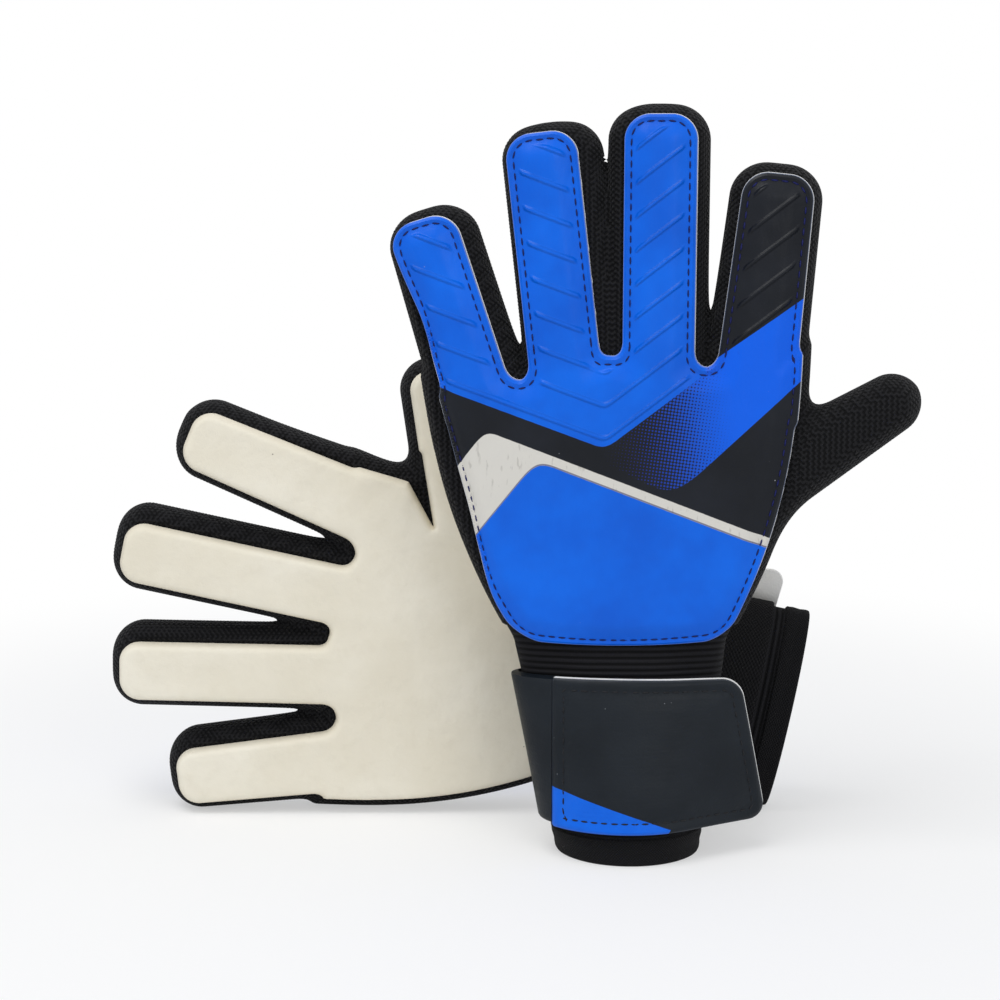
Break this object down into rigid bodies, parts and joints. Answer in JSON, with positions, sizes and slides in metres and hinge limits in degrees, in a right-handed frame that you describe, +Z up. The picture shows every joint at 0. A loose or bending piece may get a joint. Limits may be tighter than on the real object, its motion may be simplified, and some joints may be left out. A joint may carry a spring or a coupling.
{
  "type": "goalkeeper gloves",
  "caption": "Junior goalkeeper gloves with printed padded backs, latex palms and knitted side walls; the fingers and thumbs flex, and the hook-and-loop wrist straps peel open.",
  "frame": {"origin": "centre of the pair on the table: the middle of its bounding box, at the bottom", "axes": "+Z up; +X towards the left glove's thumb; +Y from the left glove towards the right glove behind it"},
  "size_m": [0.2545, 0.0759, 0.228],
  "materials": {
    "printed_skin": "semi-gloss printed synthetic leather, blue, black and white",
    "white_foam": "soft white foam",
    "latex": "matte cream latex foam",
    "black_mesh": "knitted black mesh",
    "ribbed_elastic": "ribbed black elastic",
    "cuff_binding": "folded black binding",
    "strap_elastic": "woven black elastic with ribs",
    "loop_pile": "black loop pile",
    "hook_tape": "black hook tape",
    "tab_leather": "charcoal synthetic leather"
  },
  "bodies": {
    "left_hand": {"left_cuff_elastic": "ribbed_elastic", "left_cuff_hem": "cuff_binding", "left_hand_back_foam": "white_foam", "left_hand_back_skin": "printed_skin", "left_hand_gusset": "black_mesh", "left_loop_patch": "loop_pile", "left_palm_latex": "latex", "left_strap_elastic": "strap_elastic"},
    "left_index": {"left_index_back_foam": "white_foam", "left_index_back_skin": "printed_skin", "left_index_gusset": "black_mesh", "left_index_latex": "latex"},
    "left_middle": {"left_middle_back_foam": "white_foam", "left_middle_back_skin": "printed_skin", "left_middle_gusset": "black_mesh", "left_middle_latex": "latex"},
    "left_ring": {"left_ring_back_foam": "white_foam", "left_ring_back_skin": "printed_skin", "left_ring_gusset": "black_mesh", "left_ring_latex": "latex"},
    "left_little": {"left_little_back_foam": "white_foam", "left_little_back_skin": "printed_skin", "left_little_gusset": "black_mesh", "left_little_latex": "latex"},
    "left_thumb": {"left_thumb_latex": "latex", "left_thumb_mesh": "black_mesh"},
    "left_strap_tab": {"left_tab_skin": "tab_leather", "left_tab_foam": "white_foam", "left_hook_patch": "hook_tape"},
    "right_hand": {"right_cuff_elastic": "ribbed_elastic", "right_cuff_hem": "cuff_binding", "right_hand_back_foam": "white_foam", "right_hand_back_skin": "printed_skin", "right_hand_gusset": "black_mesh", "right_loop_patch": "loop_pile", "right_palm_latex": "latex", "right_strap_elastic": "strap_elastic"},
    "right_index": {"right_index_back_foam": "white_foam", "right_index_back_skin": "printed_skin", "right_index_gusset": "black_mesh", "right_index_latex": "latex"},
    "right_middle": {"right_middle_back_foam": "white_foam", "right_middle_back_skin": "printed_skin", "right_middle_gusset": "black_mesh", "right_middle_latex": "latex"},
    "right_ring": {"right_ring_back_foam": "white_foam", "right_ring_back_skin": "printed_skin", "right_ring_gusset": "black_mesh", "right_ring_latex": "latex"},
    "right_little": {"right_little_back_foam": "white_foam", "right_little_back_skin": "printed_skin", "right_little_gusset": "black_mesh", "right_little_latex": "latex"},
    "right_thumb": {"right_thumb_latex": "latex", "right_thumb_mesh": "black_mesh"},
    "right_strap_tab": {"right_tab_skin": "tab_leather", "right_tab_foam": "white_foam", "right_hook_patch": "hook_tape"}
  },
  "joints": [
    {"name": "left_index_flex", "type": "hinge", "parent": "left_hand", "child": "left_index", "pos_m": [0.0799, -0.0055, 0.162], "axis": [-0.9903, 0, 0.1392], "range_deg": [0, 70], "stiffness_Nm_per_rad": 0.12},
    {"name": "left_middle_flex", "type": "hinge", "parent": "left_hand", "child": "left_middle", "pos_m": [0.048, -0.0055, 0.165], "axis": [-1, 0, 0], "range_deg": [0, 70], "stiffness_Nm_per_rad": 0.12},
    {"name": "left_ring_flex", "type": "hinge", "parent": "left_hand", "child": "left_ring", "pos_m": [0.0186, -0.0055, 0.165], "axis": [-0.9936, 0, -0.1132], "range_deg": [0, 70], "stiffness_Nm_per_rad": 0.12},
    {"name": "left_little_flex", "type": "hinge", "parent": "left_hand", "child": "left_little", "pos_m": [-0.0117, -0.0055, 0.158], "axis": [-0.9563, 0, -0.2924], "range_deg": [0, 70], "stiffness_Nm_per_rad": 0.12},
    {"name": "left_thumb_flex", "type": "hinge", "parent": "left_hand", "child": "left_thumb", "pos_m": [0.1001, -0.0055, 0.1284], "axis": [-0.5299, 0, 0.848], "range_deg": [0, 35], "stiffness_Nm_per_rad": 0.12},
    {"name": "left_strap_open", "type": "hinge", "parent": "left_hand", "child": "left_strap_tab", "pos_m": [0.0167, -0.0271, 0.034], "axis": [0, 0, -1], "range_deg": [0, 120]},
    {"name": "right_index_flex", "type": "hinge", "parent": "right_hand", "child": "right_index", "pos_m": [-0.05418, 0.0147, 0.1064], "axis": [0.3957, 0, 0.9184], "range_deg": [0, 70], "stiffness_Nm_per_rad": 0.12},
    {"name": "right_middle_flex", "type": "hinge", "parent": "right_hand", "child": "right_middle", "pos_m": [-0.06337, 0.0147, 0.07571], "axis": [0.2132, 0, 0.977], "range_deg": [0, 70], "stiffness_Nm_per_rad": 0.12},
    {"name": "right_ring_flex", "type": "hinge", "parent": "right_hand", "child": "right_ring", "pos_m": [-0.06914, 0.0147, 0.04688], "axis": [0.0229, 0, 0.9997], "range_deg": [0, 70], "stiffness_Nm_per_rad": 0.12},
    {"name": "right_little_flex", "type": "hinge", "parent": "right_hand", "child": "right_little", "pos_m": [-0.06822, 0.0147, 0.0158], "axis": [-0.1078, 0, 0.9942], "range_deg": [0, 70], "stiffness_Nm_per_rad": 0.12},
    {"name": "right_thumb_flex", "type": "hinge", "parent": "right_hand", "child": "right_thumb", "pos_m": [-0.01726, 0.0147, 0.11962], "axis": [0.9756, 0, 0.2196], "range_deg": [0, 35], "stiffness_Nm_per_rad": 0.12},
    {"name": "right_strap_open", "type": "hinge", "parent": "right_hand", "child": "right_strap_tab", "pos_m": [0.05718, 0.0324, 0.01049], "axis": [-0.9806, 0, 0.1962], "range_deg": [0, 60]},
    {"name": "right_glove_apart", "type": "slide", "parent": "left_hand", "child": "right_hand", "axis": [0, 1, 0], "range_m": [0, 0.1]}
  ]
}
